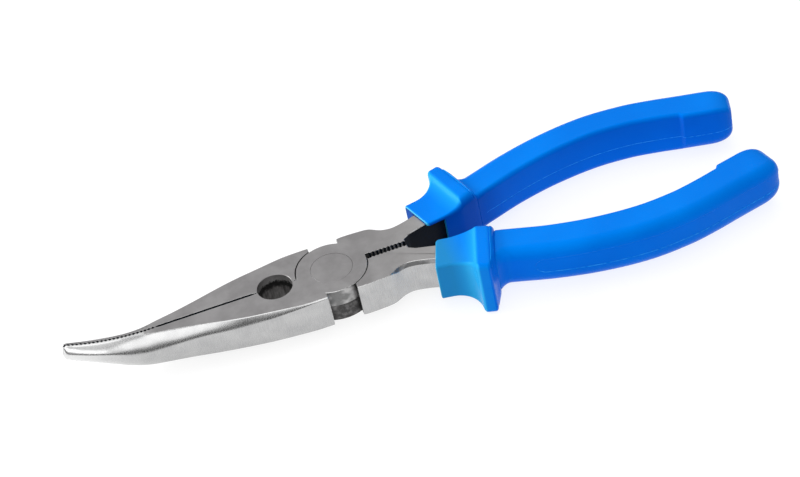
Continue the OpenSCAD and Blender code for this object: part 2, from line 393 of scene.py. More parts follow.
def jaw_ring(d, inset=0.0):
    """One section of a jaw on the +Y side, from the parting face's lower edge round the outer side to its
    upper edge. A facet falls from the flat top to a soft ridge, and turns into a quarter round towards the
    tip."""
    top, under = nose_top(d) - inset, nose_under(d) + inset
    flat, ridge = curve(JAW_FLAT, d), curve(JAW_RIDGE, d) - inset
    base = max(BASE_MIN, curve(JAW_BASE, d) - inset)
    drop = curve(RIDGE_DROP, d)
    full = smooth((d - FACET_TO) / (ROUND_FROM - FACET_TO))
    power = mix(FACET_POWER, ROUND_POWER, full)
    root = mix(BACK_ROOT, FRONT_ROOT, smooth((d - ROOT_FROM) / ROOT_RUN))

    def fall(y):
        q = clamp((y - flat) / (ridge - flat))
        return top - drop * (1 - (1 - q ** power) ** (1 / root))

    inner = parting(d) + PARTING_INSET * inset
    bevel = parting_edge(d)
    lip = inner + bevel + SLIT_LIP
    edge = mix(TOP_EDGE, HAIR, full)
    inner_flat = max(flat - edge / 2, lip + HAIR)
    outer_flat = inner_flat + edge
    points = [(inner, under + BEVEL_UNDER * bevel), (inner + bevel, under + LIP_DROP), (lip, under),
              (max(base - BASE_EDGE, lip + HAIR), under)]
    low = top - drop - under
    for v in steps(1 - BASE_EDGE / low, 0, SIDE_STEPS)[:-1]:
        points.append((ridge - (ridge - base) * v * v, under + low * (1 - v)))
    for a in steps(math.pi / 2, 0, FACET_STEPS):
        y = outer_flat + (ridge - outer_flat) * math.sin(a)
        points.append((y, fall(y)))
    points += [(inner_flat, fall(inner_flat)), (lip, fall(lip)), (inner + bevel, fall(lip) - LIP_DROP),
               (inner, fall(lip) - BEVEL_TOP * bevel)]
    mid, h = (top + under) / 2, (top - under) / 2
    slant = TIP_SLANT * max(0.0, (d - BEND_START) / (NOSE_LEN - BEND_START))
    return [(slant * (z - mid) / max(h, HALF_MIN) - d, y, z) for y, z in points]


def jaw_stations():
    """Where a jaw's sections are, from the rounded tip back to the shoulder, as (distance, inset)."""
    turns = steps(math.radians(TIP_TURN), math.pi / 2, TIP_STEPS)
    tip = [(NOSE_LEN - TIP_ROUND_X * (1 - math.cos(a)), TIP_ROUND * (1 - math.sin(a))) for a in turns]
    count = int((NOSE_LEN - TEETH_FROM) / TOOTH_PITCH)
    teeth = [(NOSE_LEN - TOOTH_PITCH * (i + 0.5) + off, 0.0)
             for i in range(count + 1) for off in (TOOTH_HALF, 0.0, -TOOTH_HALF)]
    teeth = [s for s in teeth if s[0] < tip[-1][0] - TIP_CLEAR]
    shaft_from = teeth[-1][0] - SHAFT_LEAD
    shaft = [(d, 0.0) for d in steps(shaft_from, JAW_SHOULDER_X + SHOULDER_EDGE, SHAFT_STEPS)]
    return tip + teeth + shaft + [(JAW_SHOULDER_X, SHOULDER_INSET)]


def jaw(side):
    """A jaw on one side. Ahead of the bend the near one's top takes the brighter flank material, a painted
    light that the far one's top doesn't have.
    """
    stations = jaw_stations()
    rings = [[(x, side * y, z) for x, y, z in jaw_ring(d, inset)] for d, inset in stations]
    n, last = len(rings[0]), len(rings) - 2
    # The parting face's bevels and its teeth are black: painted shade in the slit between the jaws
    kinds = {0: BLACK, 1: WORN, 2: GROUND, 3: WORN, n - 5: WORN, n - 4: GROUND, n - 3: WORN, n - 2: BLACK,
             n - 1: BLACK}

    def finish(i, j):
        if i == last:
            return WORN
        kind, d = kinds.get(j, FLANK), stations[i][0]
        if kind == WORN and d > TEETH_FROM:
            return FLANK
        # Painted light: the near jaw's top ahead of the bend is as bright as its flank
        if kind == GROUND and side == NEAR and d > PAINTED_TOP_LIGHT_FROM:
            return FLANK
        return kind

    return loft("jaw", rings, finish, FLANK, FLANK)


def tang_outline():
    """Corners of a tang's outline on the +Y side, as (x, y, bevel's width, bevel's height, material of the
    face after it): along the outer side, back along the neck, and along the crimping slot."""
    corners = []
    for x in steps(TANG_SHOULDER_X, TANG_END_FULL, TANG_STEPS):
        out = smooth((x - BEVEL_FROM) / BEVEL_RUN)
        width, height = mix(TANG_EDGE, BEVEL_W, out), mix(TANG_EDGE, BEVEL_H, out)
        corners.append((x, curve(TANG_OUTER, x), width, height, FLANK))
    corners[-1] = corners[-1][:4] + (BLACK,)
    for (xa, ya), (xb, yb) in zip(TANG_INNER[:0:-1], TANG_INNER[-2::-1]):
        for t in steps(0, 1, NECK_STEPS)[:-1]:
            corners.append((mix(xa, xb, t), mix(ya, yb, t), INNER_BEVEL, INNER_BEVEL, BLACK))
    slot_end = TANG_INNER[0][0]
    # The slot's teeth: every other flank painted black and the rest bright, painted shade and painted light
    # across the teeth
    for i in range(int((slot_end - HUB_R) / TOOTH_PITCH)):
        x = slot_end - CRIMP_LEAD - TOOTH_PITCH * i
        corners.append((x + TOOTH_PITCH / 2, CRIMP_GAP, CRIMP_EDGE, CRIMP_EDGE, BLACK))
        corners.append((x, CRIMP_GAP + CRIMP_DEPTH, CRIMP_EDGE, CRIMP_EDGE, NOTCH))
    # The tang's shoulder is painted dark, a painted shade in the notch
    corners.append((TANG_SHOULDER_X, CRIMP_GAP, SLOT_EDGE, SLOT_EDGE, SHADE))
    return corners


def inward(points):
    """Unit normals of a closed outline, pointing to its inside, at its corners."""
    p = np.array(points, float)
    before, after = p - np.roll(p, 1, 0), np.roll(p, -1, 0) - p
    for v in (before, after):
        v /= np.maximum(np.linalg.norm(v, axis=1), 1e-9)[:, None]
    n = np.stack([-(before + after)[:, 1], (before + after)[:, 0]], 1)
    n /= np.maximum(np.linalg.norm(n, axis=1), 1e-9)[:, None]
    area = np.sum(p[:, 0] * np.roll(p, -1, 0)[:, 1] - np.roll(p, -1, 0)[:, 0] * p[:, 1])
    return n if area > 0 else -n


def tang(side):
    """A tang's full-thickness part, its upper edges bevelled and its lower ones a little less."""
    corners = tang_outline()
    normals = inward([c[:2] for c in corners])

    def ring(in_share, drop_share, size, on_top):
        points = []
        for (x, y, width, height, _), n in zip(corners, normals):
            z = drop_share * height * size
            points.append((x + n[0] * in_share * width * size, side * (y + n[1] * in_share * width * size),
                           HEAD_T - z if on_top else z))
        return points

    rings = [ring(*shares, UNDER_BEVEL, False) for shares in BEVEL[::-1]]
    rings += [ring(*shares, 1.0, True) for shares in BEVEL]
    wall = len(BEVEL) - 1
    bevel_middle = wall + 2

    def finish(i, j):
        width, kind = corners[j][2], corners[j][4]
        if width < FINE_EDGE:
            return kind if i == wall else WORN
        return NOTCH if kind == FLANK and i == bevel_middle else kind

    return loft("tang", rings, finish, GROUND, GROUND)


def lean(x):
    """How far the handle's middle line turns outwards at x, in degrees."""
    return math.degrees(math.atan((curve(SPINE, x + 1) - curve(SPINE, x - 1)) / 2))


def tang_bar(side, grow=0.0):
    """The hidden bar that follows the handle's middle line inside the grip."""
    w, t = TANG_W / 2 + grow, TANG_T / 2 + grow
    rings = []
    for x in steps(TANG_END_FULL - BAR_LEAD, TANG_END_X + grow, BAR_STEPS):
        y = curve(SPINE, x)
        rings.append([(x, side * (y + u), MID_Z + v) for u, v in ((w, t), (-w, t), (-w, -t), (w, -t))])
    return loft("bar", rings, lambda i, j: SHADE, SHADE, SHADE)


def cut_recess(body, level):
    """Clears the other half's hub disc, below or above the lap."""
    r, e = HUB_R + HUB_GAP, RECESS_EDGE
    if level > 0:
        profile = [(r + e, -OVER), (r + e, 0), (r, e), (r, MID_Z + LAP_GAP)]
    else:
        profile = [(r, MID_Z - LAP_GAP), (r, HEAD_T - e), (r + e, HEAD_T), (r + e, HEAD_T + OVER)]
    combine(body, lathe("recess", profile, [SHADE] * 5), "DIFFERENCE")


def add_disc(body, level):
    """The half's own hub disc, above or below the lap."""
    r, e = HUB_R, HUB_EDGE
    if level > 0:
        profile = [(r, MID_Z + LAP_GAP), (r, HEAD_T - e), (r - e, HEAD_T)]
        finish = [SHADE, NOTCH, WORN, GROUND]
    else:
        profile = [(r - e, 0), (r, e), (r, MID_Z - LAP_GAP)]
        finish = [GROUND, WORN, SHADE, SHADE]
    combine(body, lathe("disc", profile, finish), "UNION")


def cut_pipe_grip(body):
    r, e = PIPE_R, PIPE_EDGE
    profile = [(r + e, -OVER), (r + e, 0), (r, e), (r, HEAD_T - e), (r + e, HEAD_T), (r + e, HEAD_T + OVER)]
    finish = [BORE, BORE, GROUND, BORE, GROUND, BORE, BORE]
    combine(body, lathe("hole", profile, finish, -PIPE_X), "DIFFERENCE")


def cut_rivet_bore(body, level):
    """The rivet turns in the upper half and is pressed in the lower one."""
    gap = RUN_GAP if level > 0 else 0.0
    bore_r, seat_r = RIVET_R + gap, RIVET_HEAD_R + gap
    if level > 0:
        seat_z = HEAD_T - RIVET_HEAD_T - gap
        profile = [(bore_r, -OVER), (bore_r, seat_z), (seat_r, seat_z), (seat_r, HEAD_T + OVER)]
    else:
        seat_z = RIVET_HEAD_T
        profile = [(seat_r, -OVER), (seat_r, seat_z), (bore_r, seat_z), (bore_r, HEAD_T + OVER)]
    combine(body, lathe("bore", profile, [SHADE] * 5), "DIFFERENCE")


def half(name, jaw_side, level):
    """One forged half: a jaw on one side, half of the lapped hub at one level, and the tang on the other
    side."""
    body = jaw(jaw_side)
    body.name = name
    combine(body, tang(-jaw_side), "UNION")
    combine(body, tang_bar(-jaw_side), "UNION")
    cut_recess(body, level)
    add_disc(body, level)
    cut_pipe_grip(body)
    cut_rivet_bore(body, level)
    tidy_mesh(body, FORGED_CREASE)
    weigh_normals(body)
    return body


def rivet():
    r, t, e = RIVET_HEAD_R, RIVET_HEAD_T, RIVET_EDGE
    profile = [(r - e, 0), (r, e), (r, t), (RIVET_R, t), (RIVET_R, HEAD_T - t), (r, HEAD_T - t),
               (r, HEAD_T - e), (r - e, HEAD_T)]
    obj = lathe("rivet", profile, [GROUND, GROUND] + [SHADE] * 5 + [GROUND, GROUND])
    tidy_mesh(obj, RIVET_CREASE)
    weigh_normals(obj)
    return obj


# ---------------------------------------------------------------- the moulded grips

def panel_height(x):
    """Half the height of the outer side's panel, which has a rounded front."""
    if x < PANEL_X + PANEL_LEAD:
        return PANEL_MIN
    if x > PANEL_X + PANEL_ROUND:
        return PANEL_H
    return max(PANEL_MIN, PANEL_H * math.sqrt(1 - ((PANEL_X + PANEL_ROUND - x) / PANEL_ROUND) ** 2))


def grip_ring(x, low, high, h, edges, tilt, cut=0.0, corner=0.0):
    """One section across a +Y handle, with a shallow panel on its outer side and a seam on its inner side.
    low and high are its inner and outer sides off the middle line, h is half its height, and tilt turns it
    in plan, in degrees. edges are the radii of its corners: upper outer, upper inner, lower inner and lower
    outer. cut shrinks it all round, corner on the inner side alone."""
    low, high, h = low + cut + corner, high - cut, h - cut
    depth = PANEL_DEPTH if x > PANEL_X + PANEL_LEAD else 0.0
    tall = max(PANEL_CLEAR, min(panel_height(x), h - edges[0] - PANEL_V - PANEL_CLEAR))

    def round_corner(q):
        r = edges[q]
        u = high - r if q in (0, 3) else low + r
        v = h - r if q < 2 else r - h
        return [(u + r * math.cos(a), v + r * math.sin(a))
                for a in steps(q * math.pi / 2, (q + 1) * math.pi / 2, CORNER_STEPS)]

    proud = low - SEAM_PROUD * smooth((x - SEAM_FROM) / SEAM_FADE)
    ring = [(high - depth, PANEL_V + tall - PANEL_EDGE), (high, PANEL_V + tall + PANEL_EDGE)]
    ring += round_corner(0) + round_corner(1)
    ring += [(low, SEAM_V + SEAM_TOP), (proud, SEAM_V), (proud, SEAM_V - SEAM_FLAT),
             (low, SEAM_V - SEAM_FOOT)]
    ring += round_corner(2) + round_corner(3)
    ring += [(high, PANEL_V - tall - PANEL_EDGE), (high - depth, PANEL_V - tall + PANEL_EDGE)]
    s, c = math.sin(math.radians(tilt)), math.cos(math.radians(tilt))
    y = curve(SPINE, x)
    return [(x - u * s, y + u * c, MID_Z + v) for u, v in ring]


def grip_height(x):
    return mix(GRIP_H_FRONT, GRIP_H, smooth((x - FULL_FROM) / (FULL_TO - FULL_FROM)))


def sleeve_ring(s, e, cut=0.0, corner=0.0):
    """A section of the sleeve or of the guard's front. e is how far it has swept out to the guard's size."""
    inner, outer = mix(SLEEVE_EDGE, GUARD_EDGE, e), mix(SLEEVE_EDGE, GUARD_OUTER_EDGE, e)
    tilt = mix(SLEEVE_TILT, GUARD_TILT, clamp(s / GUARD_FROM))
    return grip_ring(SLEEVE_X + s, -curve(GUARD_IN, s), mix(SLEEVE_OUT, GUARD_OUT, e),
                     mix(SLEEVE_H, GUARD_H, e), (outer, inner, inner, outer), tilt, cut, corner)


def hollow_ring(t, e, cut=0.0):
    """A section behind the guard. t runs along the hollow, e is how far its outer side still stands out."""
    s = mix(GUARD_TO, GRIP_FROM, t)
    x = SLEEVE_X + s
    rise = math.sqrt(1 - clamp(t / CREASE) ** 2) if t > 0 else 1 - (1 - e) * RIM_FALL
    full = max(e, rise)
    edges = (mix(OUTER_EDGE, GUARD_OUTER_EDGE, e), mix(INNER_EDGE, GUARD_EDGE, full),
             mix(UNDER_EDGE, GUARD_EDGE, full), mix(OUTER_UNDER_EDGE, GUARD_OUTER_EDGE, e))
    return grip_ring(x, -curve(GUARD_IN, s), mix(GRIP_OUT, GUARD_BACK_OUT, e),
                     mix(grip_height(x), GUARD_H, rise), edges, mix(lean(x), GUARD_TILT, e), cut)


def body_ring(x):
    return grip_ring(x, -GRIP_IN, GRIP_OUT, grip_height(x),
                     (OUTER_EDGE, INNER_EDGE, UNDER_EDGE, OUTER_UNDER_EDGE), lean(x))


def end_ring(x, step, cut):
    """A section of the end block. step is how far it has stepped out towards the other handle."""
    under = mix(UNDER_EDGE, UNDER_END_EDGE, step)
    edges = (OUTER_EDGE - cut / 2, INNER_EDGE, under - cut / 2, OUTER_UNDER_EDGE - cut / 2)
    return grip_ring(x, cut - GRIP_IN - step * END_STEP, GRIP_OUT - cut, GRIP_H - cut, edges,
                     lean(min(x, END_LEAN_X)))


def sleeve_rings():
    """The sleeve's thin front lip and its plain part."""
    rings = [sleeve_ring(SLEEVE_FROM + s, 0.0, cut, corner) for s, cut, corner in SLEEVE_LIP]
    return rings + [sleeve_ring(s, 0.0) for s in SLEEVE_PLAIN]


def guard_rings():
    """The sweep out to the guard, the front of its rim and the back of its rim."""
    length = GUARD_FROM - SWEEP_FROM
    rings = []
    for t in [0.0] + [math.sin(a) for a in steps(SWEEP_START, math.asin(SWEEP_TO), SWEEP_STEPS)]:
        rings.append(sleeve_ring(SWEEP_FROM + t * length, sweep(t)))
    rim_start = SWEEP_FROM + SWEEP_TO * length
    tangent = math.radians(FRONT_RIM_TURN)
    for a in steps(tangent, math.pi / 2, FRONT_RIM_STEPS)[1:]:
        out = (math.sin(a) - math.sin(tangent)) / (1 - math.sin(tangent))
        s = rim_start + FRONT_RIM * (math.cos(tangent) - math.cos(a))
        rings.append(sleeve_ring(s, 1 - RIM_SHARE * (1 - out)))
    for a in steps(math.pi / 2, 0, RIM_STEPS):
        s = GUARD_TO - RIM + RIM * math.cos(a)
        t = (s - GUARD_TO) / (GRIP_FROM - GUARD_TO)
        rings.append(hollow_ring(t, 1 - RIM_SHARE + RIM_SHARE * math.sin(a)))
    return rings


def hollow_rings():
    """The hollow from the guard's rim down to the grip, with a crease at the foot of the guard."""
    before, after = CREASE_CLEAR
    fade = [1 - math.sin(a) for a in steps(math.asin(SWEEP_TO), 0.0, SWEEP_STEPS)[1:]]
    fade = [(t, 0.0) for t in fade if not CREASE - before < t < CREASE + after]
    crease = [(CREASE - CREASE_LIP, 0.0), (CREASE, CREASE_DEPTH), (CREASE + CREASE_FLAT, CREASE_DEPTH),
              (CREASE + CREASE_TO, 0.0)]
    return [hollow_ring(t, sweep(1 - t), cut) for t, cut in sorted(fade + crease)]


def body_rings():
    stretches = [(SLEEVE_X + GRIP_FROM, PANEL_X, 4), (PANEL_X, PANEL_X + PANEL_ROUND, 12),
                 (PANEL_X + PANEL_ROUND, STEP_FROM, 50)]
    return [body_ring(x) for start, end, n in stretches for x in steps(start, end, n)[1:]]


def end_rings():
    """The end block: the step up to it, its plain part and its rounded end."""
    rings = [end_ring(mix(STEP_FROM, STEP_TO, t), smooth(t), 0.0) for t in steps(0, 1, RAMP_STEPS)[1:]]
    rings += [end_ring(x, 1.0, 0.0) for x in steps(STEP_TO, BLOCK_ROUND_X, BLOCK_STEPS)[1:]]
    for a in steps(0, math.radians(END_TURN), END_STEPS)[1:]:
        cut = END_CUT * (1 - math.cos(a)) ** END_POWER
        rings.append(end_ring(BLOCK_ROUND_X + BLOCK_ROUND * math.sin(a), 1.0, cut))
    return rings


def box_tool(low, high, side):
    ends = ((low[0], low[1]), (high[0], low[1]), (high[0], high[1]), (low[0], high[1]))
    return loft("box", [[(x, side * y, z) for x, y in ends] for z in (low[2], high[2])])


def tang_tool(side):
    """The pocket for a tang: its outline, a hair larger."""
    corners = tang_outline()
    normals = inward([c[:2] for c in corners])
    gap = POCKET_GAP
    rings = [[(x - n[0] * gap, side * (y - n[1] * gap), z) for (x, y, *_), n in zip(corners, normals)]
             for z in (-gap, HEAD_T + gap)]
    return loft("pocket", rings)


def grip(name, side):
    """One moulded grip, hollow for its tang and open on the inner side by the joint."""
    rings = sleeve_rings() + guard_rings() + hollow_rings() + body_rings() + end_rings()
    rings = [[(x, side * y, z) for x, y, z in ring] for ring in rings]
    panel_edges = (0, len(rings[0]) - 2)

    def finish(i, j):
        # The sleeve's thin front lip: painted pale, a painted highlight along its rim
        if i < LIP_RINGS:
            return THIN
        x = rings[i][SEAM_POINT][0]
        on_seam = j == SEAM_POINT and x > SEAM_FROM
        # The ramp and the panel's recessed edges take a painted highlight; the seam a paler line
        on_ramp = SEAM_POINT - 2 < j < SEAM_POINT + 4 and RAMP_FROM < x < RAMP_TO
        recessed = math.dist(rings[i][0][:2], rings[i][1][:2]) > PANEL_DEPTH / 2
        return SEAM if on_seam or on_ramp or (j in panel_edges and recessed) else BULK

    # The sleeve's open end takes a painted shade
    obj = loft(name, rings, finish, MOUTH)
    combine(obj, tang_bar(side, POCKET_GAP), "DIFFERENCE")
    combine(obj, tang_tool(side), "DIFFERENCE")
    window_low = (SLEEVE_X - OVER - WINDOW_LEAD, -OVER, -POCKET_GAP)
    combine(obj, box_tool(window_low, (WINDOW_TO, WINDOW_Y, HEAD_T + POCKET_GAP), side), "DIFFERENCE")
    tidy_mesh(obj, GRIP_CREASE)
    weigh_normals(obj)
    return obj


# ---------------------------------------------------------------- materials

# Spans of a noise's values: most of them, and the middle ones
MOST, MIDDLE = (0.3, 0.7), (0.35, 0.65)
# Where the steel gets paler along X: towards the grips, and towards the tips
TANG_PALE, TIP_PALE = (8.0, 34.0), (-56.0, -74.0)
# Where the pipe grip's wall turns black with a painted shadow, and pale with painted light, going up
BORE_PAINTED_SHADOW, BORE_PAINTED_LIGHT = (5.6, 6.6), (7.9, 8.5)
# Where the plastic is greyer over the tang, painted pale with light at the guard's front, and painted deep with
# shade on its inner side, along X
SLEEVE_GREY, GUARD_PAINTED_LIGHT, INNER_PAINTED_SHADE = (30.0, 36.5), (40.0, 46.0), (44.0, 54.0)


class Nodes:
    """A short way to write a node tree."""

    def __init__(self, name):
        self.material = bpy.data.materials.new(name)
        self.material.use_nodes = True
        self.tree = self.material.node_tree
        self.tree.nodes.clear()
        self.out = self.add("ShaderNodeOutputMaterial")
        self.place = self.add("ShaderNodeTexCoord").outputs["Object"]

    def add(self, kind, **values):
        node = self.tree.nodes.new(kind)
        for key, value in values.items():
            setattr(node, key, value)
        return node

    def link(self, a, b):
        self.tree.links.new(a, b)

    def feed(self, socket, value):
        if isinstance(value, bpy.types.NodeSocket):
            self.link(value, socket)
        else:
            socket.default_value = value

    def noise(self, scale, detail=3.0, rough=0.5, stretch=(1, 1, 1)):
        """Noise whose features are about 1/scale millimetres across."""
        mapping = self.add("ShaderNodeMapping")
        self.link(self.place, mapping.inputs["Vector"])
        mapping.inputs["Scale"].default_value = [s / MM for s in stretch]
        node = self.add("ShaderNodeTexNoise")
        self.link(mapping.outputs[0], node.inputs["Vector"])
        node.inputs["Scale"].default_value = scale
        node.inputs["Detail"].default_value = detail
        node.inputs["Roughness"].default_value = rough
        return node.outputs["Fac"]

    def spread(self, value, low, high, to_low=0.0, to_high=1.0):
        node = self.add("ShaderNodeMapRange")
        self.link(value, node.inputs["Value"])
        for key, v in (("From Min", low), ("From Max", high), ("To Min", to_low), ("To Max", to_high)):
            node.inputs[key].default_value = v
        return node.outputs["Result"]

    def math(self, how, a, b):
        node = self.add("ShaderNodeMath", operation=how)
        self.feed(node.inputs[0], a)
        self.feed(node.inputs[1], b)
        return node.outputs[0]

    def blend(self, factor, a, b):
        node = self.add("ShaderNodeMix", data_type="RGBA")
        self.feed(node.inputs["Factor"], factor)
        for socket, value in ((node.inputs[6], a), (node.inputs[7], b)):
            self.feed(socket, value if isinstance(value, bpy.types.NodeSocket) else (*value, 1.0))
        return node.outputs[2]

    def axis(self, which):
        node = self.add("ShaderNodeSeparateXYZ")
        self.link(self.place, node.inputs[0])
        return self.math("MULTIPLY", node.outputs[which], 1.0 / MM)

    def facing(self, which):
        """How far the surface faces along one of the object's own axes."""
        node = self.add("ShaderNodeSeparateXYZ")
        self.link(self.place.node.outputs["Normal"], node.inputs[0])
        return node.outputs[which]

    def bump(self, height, distance, strength=1.0, normal=None):
        node = self.add("ShaderNodeBump")
        node.inputs["Strength"].default_value = strength
        node.inputs["Distance"].default_value = distance * MM
        self.link(height, node.inputs["Height"])
        if normal is not None:
            self.link(normal, node.inputs["Normal"])
        return node.outputs["Normal"]

    def surface(self, color, roughness, normal, **constants):
        shader = self.add("ShaderNodeBsdfPrincipled")
        self.feed(shader.inputs["Base Color"], color)
        self.feed(shader.inputs["Roughness"], roughness)
        if normal is not None:
            self.link(normal, shader.inputs["Normal"])
        for key, value in constants.items():
            shader.inputs[key.replace("_", " ")].default_value = value
        self.link(shader.outputs[0], self.out.inputs["Surface"])
        return self.material


def steel_ground():
    """Tops and undersides: dull, ground flat with a fine even grain."""
    n = Nodes("steel_ground")
    grain = n.noise(4.0, 4, 0.65, (0.8, 1.3, 1))
    cloud = n.noise(0.16, 3, 0.55)
    tone = n.blend(n.spread(cloud, *MIDDLE), (0.215, 0.21, 0.212), (0.285, 0.28, 0.282))
    tone = n.blend(n.spread(grain, *MOST, 0.0, 0.35), tone, (0.355, 0.345, 0.35))
    tone = n.blend(n.spread(n.axis(0), *TANG_PALE, 0.0, 0.35), tone, (0.47, 0.46, 0.45))
    rough = n.spread(grain, *MOST, 0.38, 0.56)
    return n.surface(tone, rough, n.bump(grain, 0.012, 0.7), Metallic=1.0)


def steel_flank():
    """Sides and the bent nose: brighter, linished across the thickness."""
    n = Nodes("steel_flank")
    strokes = n.noise(5.0, 4, 0.6, (1, 1, 0.05))
    cloud = n.noise(0.2, 3, 0.5)
    tone = n.blend(n.spread(cloud, *MIDDLE), (0.39, 0.39, 0.395), (0.465, 0.465, 0.465))
    tone = n.blend(n.spread(strokes, *MOST, 0.0, 0.4), tone, (0.58, 0.58, 0.58))
    tone = n.blend(n.spread(n.axis(0), *TIP_PALE, 0.0, 0.8), tone, (0.80, 0.80, 0.80))
    rough = n.spread(strokes, *MOST, 0.2, 0.31)
    return n.surface(tone, rough, n.bump(strokes, 0.01, 0.3), Metallic=1.0)


def steel_worn():
    """Edges rubbed bright."""
    n = Nodes("steel_worn")
    wear = n.noise(1.2, 3, 0.6)
    tone = n.blend(n.spread(wear, *MIDDLE), (0.36, 0.36, 0.36), (0.62, 0.62, 0.62))
    return n.surface(tone, n.spread(wear, *MOST, 0.2, 0.4), n.bump(wear, 0.02, 0.4), Metallic=1.0)


def steel_shade():
    """Machined walls inside the joint, the lower hub wall and the tang's shoulder in the notch: dark and rough;
    on the shoulder the dark is painted shade.
    """
    n = Nodes("steel_shade")
    pits = n.noise(1.6, 5, 0.7)
    scuff = n.noise(0.5, 3, 0.6)
    tone = n.blend(n.spread(scuff, 0.45, 0.75), (0.07, 0.068, 0.068), (0.24, 0.235, 0.235))
    return n.surface(tone, n.spread(pits, *MOST, 0.4, 0.7), n.bump(pits, 0.08, 0.8), Metallic=0.9)


def steel_notch():
    """The upper half's hub wall, the crimping teeth and the tangs' outer bevels: brighter in places; on the
    crimping teeth, painted light on every other flank.
    """
    n = Nodes("steel_notch")
    pits = n.noise(1.3, 4, 0.65)
    scuff = n.noise(0.28, 2, 0.5)
    tone = n.blend(n.spread(scuff, 0.45, 0.6), (0.2, 0.2, 0.2), (0.46, 0.455, 0.455))
    return n.surface(tone, n.spread(pits, *MOST, 0.35, 0.6), n.bump(pits, 0.06, 0.7), Metallic=0.95)


def steel_bore_painted_shade():
    """The pipe grip's wall: dark up to the middle, a painted black shadow band above it, and painted light
    along its upper rim.
    """
    n = Nodes("steel_bore_painted_shade")
    pits = n.noise(1.2, 4, 0.65)
    strokes = n.noise(1.1, 3, 0.6, (1, 1, 0.15))
    z = n.math("ADD", n.axis(2), n.spread(pits, *MOST, -0.5, 0.5))
    dark = n.blend(n.spread(strokes, *MIDDLE), (0.045, 0.042, 0.042), (0.12, 0.115, 0.115))
    # Painted shadow: a black band below the rim
    black = n.blend(n.spread(z, *BORE_PAINTED_SHADOW), dark, (0.008, 0.008, 0.008))
    # Painted light along the upper rim
    tone = n.blend(n.spread(z, *BORE_PAINTED_LIGHT), black, (0.24, 0.235, 0.235))
    return n.surface(tone, n.spread(pits, *MOST, 0.4, 0.7), n.bump(pits, 0.06, 0.7), Metallic=0.9)


def steel_black():
    """Parting faces, slot and neck, black: forging scale on the neck, and painted shade in the slit between the
    jaws and on every other flank of the slot's teeth.
    """
    n = Nodes("steel_black")
    pits = n.noise(1.1, 5, 0.7)
    tone = n.blend(n.spread(pits, 0.3, 0.75), (0.001, 0.003, 0.007), (0.008, 0.013, 0.021))
    return n.surface(tone, n.spread(pits, *MOST, 0.35, 0.65), n.bump(pits, 0.06, 0.8), Metallic=0.2,
                     Specular_IOR_Level=0.1)


def grip_plastic(name, side, sleeve_grey):
    """Glossy blue moulded plastic: greyer over the tang by sleeve_grey; painted light on faces turned up and on
    the guard's front; painted shade on upright and downward faces, along the inner side and most of all by the
    guard."""
    n = Nodes(name)
    cloud = n.noise(0.05, 2, 0.5)
    fine = n.noise(2.2, 3, 0.5)
    deep = n.blend(n.spread(cloud, *MOST), (0.0, 0.13, 0.68), (0.0, 0.155, 0.76))
    light = n.blend(n.spread(cloud, *MOST), (0.0, 0.165, 0.71), (0.0, 0.20, 0.79))
    # Painted light and shade: faces turned up lighter, upright and downward faces deeper
    tone = n.blend(n.spread(n.facing(2), 0.0, 0.85), deep, light)
    x = n.axis(0)
    # Painted shade along the inner side, deepest by the guard
    inner = n.spread(n.facing(1), -0.3 * side, -0.9 * side)
    shade_by_guard = n.math("MULTIPLY", inner, n.spread(x, *INNER_PAINTED_SHADE, 0.75, 0.15))
    tone = n.blend(shade_by_guard, tone, (0.0, 0.05, 0.38))
    # Painted light on the guard's front
    front = n.math("MULTIPLY", n.spread(n.facing(0), -0.15, -0.75), n.spread(x, *GUARD_PAINTED_LIGHT, 0.8, 0.0))
    tone = n.blend(front, tone, (0.02, 0.42, 0.80))
    thin = n.math("MULTIPLY", n.spread(x, *SLEEVE_GREY, 1.0, 0.0), sleeve_grey)
    tone = n.blend(thin, tone, (0.02, 0.23, 0.43))
    waves = n.noise(0.12, 2, 0.4)
    normal = n.bump(waves, 0.25, 0.35, n.bump(fine, 0.012, 0.3))
    rough = n.spread(fine, *MOST, 0.18, 0.28)
    return n.surface(tone, rough, normal, Specular_Tint=(0.0, 0.6, 1.0, 1.0), Specular_IOR_Level=0.06)


def grip_lip_painted_light(name):
    """The sleeve's thin front edges, painted pale cyan: a painted highlight and a painted glow of light let
    through the thin rim.
    """
    n = Nodes(name)
    cloud = n.noise(0.4, 2, 0.5)
    tone = n.blend(n.spread(cloud, *MOST), (0.03, 0.34, 0.62), (0.06, 0.46, 0.72))
    return n.surface(tone, 0.3, None, Specular_Tint=(0.3, 0.8, 1.0, 1.0))


def grip_seam_and_highlight(name):
    """The seam along the inner side, the step up to the end block and the panel's edges, painted paler: a paler
    line along the seam, and a painted highlight along the step and the panel's edges.
    """
    n = Nodes(name)
    wear = n.noise(0.9, 3, 0.6)
    tone = n.blend(n.spread(wear, *MIDDLE), (0.0, 0.16, 0.75), (0.03, 0.30, 0.86))
    return n.surface(tone, 0.3, None, Specular_Tint=(0.0, 0.6, 1.0, 1.0), Specular_IOR_Level=0.2)


def grip_mouth_painted_shade(name):
    """The sleeve's open end, painted a darker blue: painted shade on the end face."""
    n = Nodes(name)
    cloud = n.noise(0.4, 2, 0.5)
    tone = n.blend(n.spread(cloud, *MOST), (0.0, 0.06, 0.34), (0.0, 0.08, 0.42))
    return n.surface(tone, 0.6, None, Specular_IOR_Level=0.1)


def floor_material():
    n = Nodes("floor_white")
    cloud = n.noise(0.01, 2, 0.5)
    tone = n.blend(n.spread(cloud, *MOST), (0.24, 0.24, 0.24), (0.26, 0.26, 0.26))
    return n.surface(tone, 0.9, None, Specular_IOR_Level=0.1, Emission_Color=(1.0, 1.0, 1.0, 1.0),
                     Emission_Strength=0.82)


# ---------------------------------------------------------------- studio

FLOOR_SIZE = 3000
